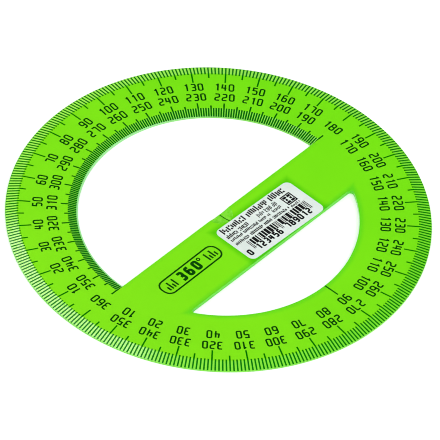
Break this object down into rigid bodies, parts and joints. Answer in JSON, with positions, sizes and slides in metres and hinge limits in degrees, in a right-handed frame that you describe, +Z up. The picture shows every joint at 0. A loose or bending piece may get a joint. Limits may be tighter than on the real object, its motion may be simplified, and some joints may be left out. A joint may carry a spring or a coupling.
{
  "type": "full-circle protractor",
  "caption": "Flat full-circle protractor in translucent plastic: bevelled ring, cross bar with a centre mark between two openings, and a paper label on the bar.",
  "frame": {"origin": "centre of the dial, at the middle of the zero line, on the flat underside that lies on the paper", "axes": "+X along the bar from the 0 mark to the 180 mark, +Y towards the 90 mark of the outer scale, +Z up out of the printed face"},
  "size_m": [0.12, 0.12, 0.0013],
  "materials": {
    "plate_plastic": "glossy translucent neon lime green, tinted in the mass",
    "label_paper": "semi-matt white self-adhesive paper"
  },
  "bodies": {
    "root": {"protractor_plate": "plate_plastic", "barcode_label": "label_paper"}
  },
  "joints": []
}
